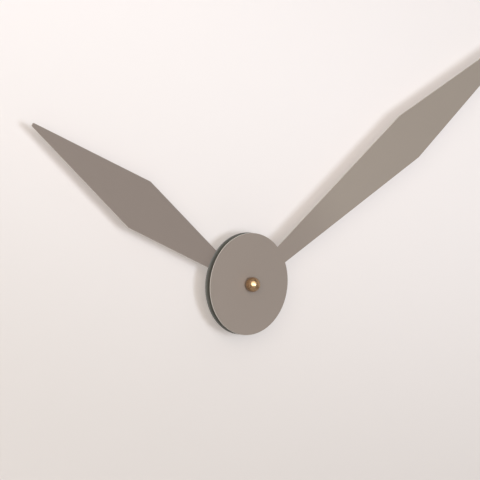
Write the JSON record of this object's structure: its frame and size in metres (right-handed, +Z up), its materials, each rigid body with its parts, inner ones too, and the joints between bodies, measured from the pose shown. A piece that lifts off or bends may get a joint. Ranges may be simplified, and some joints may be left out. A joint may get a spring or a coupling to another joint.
{
  "type": "wall clock",
  "caption": "Hands-only wall clock: kite-shaped sheet-metal hands with round hubs and a brass ball nut, turned by a battery quartz movement on a wall bracket.",
  "frame": {"origin": "where the hands' axis meets the wall, halfway between the two wall screws", "axes": "+Y into the wall, so that the clock faces -Y; +Z up through twelve; +X to three o'clock"},
  "size_m": [0.6451, 0.0404, 0.2762],
  "materials": {
    "taupe_coat": "matte powder coat on aluminium sheet",
    "polished_brass": "turned and polished brass",
    "brass": "turned brass",
    "zinc_steel": "zinc-plated steel",
    "arbor_steel": "turned steel",
    "nickel_spring": "nickel-plated spring strip",
    "soft_iron": "annealed soft iron",
    "magnet": "sintered magnet",
    "case_plastic": "moulded plastic, fine matte texture",
    "gear_plastic": "moulded natural acetal",
    "knob_plastic": "moulded black plastic",
    "cell_sleeve": "plain printed film over a metal can",
    "board_laminate": "glass-fibre laminate with solder mask",
    "chip_resin": "black epoxy",
    "copper_wire": "enamelled copper wire"
  },
  "bodies": {
    "movement": {"wall_bracket": "zinc_steel", "case_front": "case_plastic", "case_rear": "case_plastic", "case_screws": "zinc_steel", "threaded_bushing": "brass", "bushing_washer": "zinc_steel", "hex_nut": "brass", "train_plate": "gear_plastic", "battery": "cell_sleeve", "contact_positive": "nickel_spring", "contact_negative": "nickel_spring", "circuit_board": "board_laminate", "quartz_crystal": "nickel_spring", "driver_chip": "chip_resin", "coil_core": "soft_iron", "coil_bobbin": "gear_plastic", "coil_winding": "copper_wire", "stator": "soft_iron"},
    "minute": {"minute_arbor": "arbor_steel", "clutch_spring": "nickel_spring", "minute_collet": "brass", "minute_hand": "taupe_coat", "cap_nut": "polished_brass"},
    "hour": {"hour_wheel": "gear_plastic", "hour_collet": "brass", "hour_hand": "taupe_coat"},
    "setting": {"motion_wheel": "gear_plastic", "setting_knob": "knob_plastic"},
    "centre": {"centre_wheel": "gear_plastic"},
    "third": {"third_wheel": "gear_plastic"},
    "second": {"second_wheel": "gear_plastic"},
    "rotor": {"rotor_magnet": "magnet", "rotor_pinion": "gear_plastic"}
  },
  "joints": [
    {"name": "minute_hand_turn", "type": "hinge", "parent": "movement", "child": "minute", "pos_m": [0, 0, 0], "axis": [0, 1, 0], "continuous": true},
    {"name": "hour_hand_turn", "type": "hinge", "parent": "movement", "child": "hour", "pos_m": [0, 0, 0], "axis": [0, 1, 0], "continuous": true},
    {"name": "setting_knob_turn", "type": "hinge", "parent": "movement", "child": "setting", "pos_m": [-0.01039, 0, 0.006], "axis": [0, 1, 0], "continuous": true},
    {"name": "centre_wheel_turn", "type": "hinge", "parent": "movement", "child": "centre", "pos_m": [0, 0, 0], "axis": [0, 1, 0], "continuous": true},
    {"name": "third_wheel_turn", "type": "hinge", "parent": "movement", "child": "third", "pos_m": [0.00935, 0, 0.0054], "axis": [0, 1, 0], "continuous": true},
    {"name": "second_wheel_turn", "type": "hinge", "parent": "movement", "child": "second", "pos_m": [0.00758, 0, 0.01545], "axis": [0, 1, 0], "continuous": true},
    {"name": "rotor_turn", "type": "hinge", "parent": "movement", "child": "rotor", "pos_m": [-0.00262, 0, 0.01545], "axis": [0, 1, 0], "continuous": true}
  ],
  "couplings": [
    {"joint": "hour_hand_turn", "follows": "minute_hand_turn", "ratio": 0.083333},
    {"joint": "setting_knob_turn", "follows": "minute_hand_turn", "ratio": -0.33333},
    {"joint": "centre_wheel_turn", "follows": "minute_hand_turn", "ratio": 1},
    {"joint": "third_wheel_turn", "follows": "minute_hand_turn", "ratio": -8},
    {"joint": "second_wheel_turn", "follows": "minute_hand_turn", "ratio": 60},
    {"joint": "rotor_turn", "follows": "minute_hand_turn", "ratio": -450}
  ]
}
